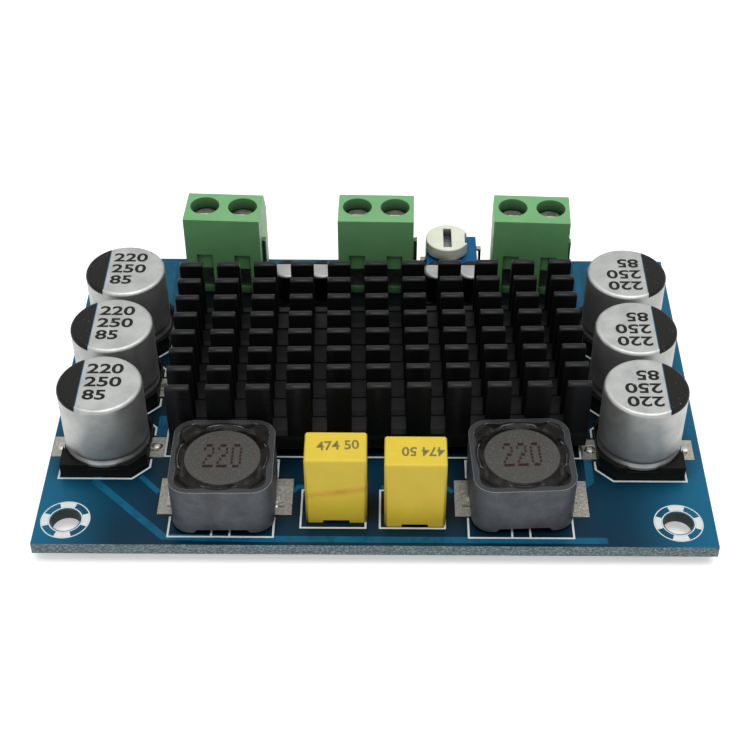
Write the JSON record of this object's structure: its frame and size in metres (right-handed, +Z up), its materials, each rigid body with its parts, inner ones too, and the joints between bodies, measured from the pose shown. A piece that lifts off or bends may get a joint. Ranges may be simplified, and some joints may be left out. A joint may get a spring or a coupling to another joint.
{
  "type": "audio amplifier board",
  "caption": "Mono power amplifier circuit board: black cross-cut heat sink over the chip, can capacitors, shielded inductors, green screw terminals and a level trimmer.",
  "frame": {"origin": "centre of the rectangle of mounting holes, on the board's underside", "axes": "+X along the board's long side, +Y towards the screw terminals, +Z up through the heat sink"},
  "size_m": [0.08, 0.0544, 0.0156],
  "materials": {
    "solder_mask": "glass-epoxy board with blue solder mask, semi-gloss",
    "black_anodised": "extruded aluminium, black anodised",
    "zinc_steel": "zinc-plated steel",
    "chip_epoxy": "black moulding compound",
    "tinned_lead": "tin-plated lead, solder-wetted",
    "heat_compound": "white heat compound",
    "resistor_ceramic": "glazed black chip resistor",
    "capacitor_ceramic": "fired brown ceramic",
    "tinned_brass": "tin-plated brass strip",
    "blue_moulding": "moulded blue plastic",
    "cream_moulding": "moulded cream plastic",
    "spring_brass": "spring brass",
    "base_moulding": "moulded black plastic",
    "capacitor_can": "drawn aluminium, satin",
    "ferrite": "sintered ferrite, varnished",
    "enamelled_copper": "enamelled copper wire",
    "yellow_case": "moulded yellow case",
    "green_moulding": "moulded green polyamide",
    "terminal_screw_steel": "zinc-plated steel",
    "clamp_steel": "nickel-plated steel"
  },
  "bodies": {
    "board_assembly": {"amplifier_chip": "chip_epoxy", "amplifier_chip_leads": "tinned_lead", "bulk_capacitor_1": "capacitor_can", "bulk_capacitor_2": "capacitor_can", "bulk_capacitor_3": "capacitor_can", "bulk_capacitor_4": "capacitor_can", "bulk_capacitor_5": "capacitor_can", "bulk_capacitor_6": "capacitor_can", "bulk_capacitor_base_1": "base_moulding", "bulk_capacitor_base_2": "base_moulding", "bulk_capacitor_base_3": "base_moulding", "bulk_capacitor_base_4": "base_moulding", "bulk_capacitor_base_5": "base_moulding", "bulk_capacitor_base_6": "base_moulding", "capacitor_leads": "tinned_lead", "chip_capacitors": "capacitor_ceramic", "chip_resistors": "resistor_ceramic", "circuit_board": "solder_mask", "film_capacitor_leads": "tinned_lead", "film_capacitor_left": "yellow_case", "film_capacitor_right": "yellow_case", "heatsink": "black_anodised", "heatsink_screws": "zinc_steel", "inductor_clips": "tinned_lead", "inductor_core_left": "ferrite", "inductor_core_right": "ferrite", "inductor_shield_left": "ferrite", "inductor_shield_right": "ferrite", "inductor_winding_left": "enamelled_copper", "inductor_winding_right": "enamelled_copper", "small_capacitor_1": "capacitor_can", "small_capacitor_2": "capacitor_can", "small_capacitor_3": "capacitor_can", "small_capacitor_4": "capacitor_can", "small_capacitor_base_1": "base_moulding", "small_capacitor_base_2": "base_moulding", "small_capacitor_base_3": "base_moulding", "small_capacitor_base_4": "base_moulding", "terminal_contacts": "tinned_brass", "terminal_housing_left": "green_moulding", "terminal_housing_middle": "green_moulding", "terminal_housing_right": "green_moulding", "thermal_compound": "heat_compound", "trimmer_body": "blue_moulding", "trimmer_pins": "tinned_lead"},
    "terminal_screw_1": {"terminal_screw_1": "terminal_screw_steel"},
    "wire_clamp_1": {"wire_clamp_1": "clamp_steel"},
    "terminal_screw_2": {"terminal_screw_2": "terminal_screw_steel"},
    "wire_clamp_2": {"wire_clamp_2": "clamp_steel"},
    "terminal_screw_3": {"terminal_screw_3": "terminal_screw_steel"},
    "wire_clamp_3": {"wire_clamp_3": "clamp_steel"},
    "terminal_screw_4": {"terminal_screw_4": "terminal_screw_steel"},
    "wire_clamp_4": {"wire_clamp_4": "clamp_steel"},
    "terminal_screw_5": {"terminal_screw_5": "terminal_screw_steel"},
    "wire_clamp_5": {"wire_clamp_5": "clamp_steel"},
    "terminal_screw_6": {"terminal_screw_6": "terminal_screw_steel"},
    "wire_clamp_6": {"wire_clamp_6": "clamp_steel"},
    "trimmer_rotor": {"trimmer_dial": "cream_moulding", "trimmer_wiper": "spring_brass"}
  },
  "joints": [
    {"name": "screw_1_turn", "type": "hinge", "parent": "board_assembly", "child": "terminal_screw_1", "pos_m": [-0.023, 0.02265, 0.0106], "axis": [0, 0, -1], "range_deg": [0, 1925]},
    {"name": "clamp_1_rise", "type": "slide", "parent": "board_assembly", "child": "wire_clamp_1", "axis": [0, 0, 1], "range_m": [0, 0.0024]},
    {"name": "screw_2_turn", "type": "hinge", "parent": "board_assembly", "child": "terminal_screw_2", "pos_m": [-0.01792, 0.02244, 0.0106], "axis": [0, 0, -1], "range_deg": [0, 1925]},
    {"name": "clamp_2_rise", "type": "slide", "parent": "board_assembly", "child": "wire_clamp_2", "axis": [0, 0, 1], "range_m": [0, 0.0024]},
    {"name": "screw_3_turn", "type": "hinge", "parent": "board_assembly", "child": "terminal_screw_3", "pos_m": [-0.00249, 0.02259, 0.0106], "axis": [0, 0, -1], "range_deg": [0, 1925]},
    {"name": "clamp_3_rise", "type": "slide", "parent": "board_assembly", "child": "wire_clamp_3", "axis": [0, 0, 1], "range_m": [0, 0.0024]},
    {"name": "screw_4_turn", "type": "hinge", "parent": "board_assembly", "child": "terminal_screw_4", "pos_m": [0.00259, 0.02251, 0.0106], "axis": [0, 0, -1], "range_deg": [0, 1925]},
    {"name": "clamp_4_rise", "type": "slide", "parent": "board_assembly", "child": "wire_clamp_4", "axis": [0, 0, 1], "range_m": [0, 0.0024]},
    {"name": "screw_5_turn", "type": "hinge", "parent": "board_assembly", "child": "terminal_screw_5", "pos_m": [0.01844, 0.02264, 0.0106], "axis": [0, 0, -1], "range_deg": [0, 1925]},
    {"name": "clamp_5_rise", "type": "slide", "parent": "board_assembly", "child": "wire_clamp_5", "axis": [0, 0, 1], "range_m": [0, 0.0024]},
    {"name": "screw_6_turn", "type": "hinge", "parent": "board_assembly", "child": "terminal_screw_6", "pos_m": [0.02352, 0.02245, 0.0106], "axis": [0, 0, -1], "range_deg": [0, 1925]},
    {"name": "clamp_6_rise", "type": "slide", "parent": "board_assembly", "child": "wire_clamp_6", "axis": [0, 0, 1], "range_m": [0, 0.0024]},
    {"name": "trimmer_turn", "type": "hinge", "parent": "board_assembly", "child": "trimmer_rotor", "pos_m": [0.0098, 0.0236, 0.0065], "axis": [0, 0, 1], "range_deg": [-120, 120]}
  ],
  "couplings": [
    {"joint": "screw_1_turn", "follows": "clamp_1_rise", "rad_per_m": 13963},
    {"joint": "screw_2_turn", "follows": "clamp_2_rise", "rad_per_m": 13963},
    {"joint": "screw_3_turn", "follows": "clamp_3_rise", "rad_per_m": 13963},
    {"joint": "screw_4_turn", "follows": "clamp_4_rise", "rad_per_m": 13963},
    {"joint": "screw_5_turn", "follows": "clamp_5_rise", "rad_per_m": 13963},
    {"joint": "screw_6_turn", "follows": "clamp_6_rise", "rad_per_m": 13963}
  ]
}
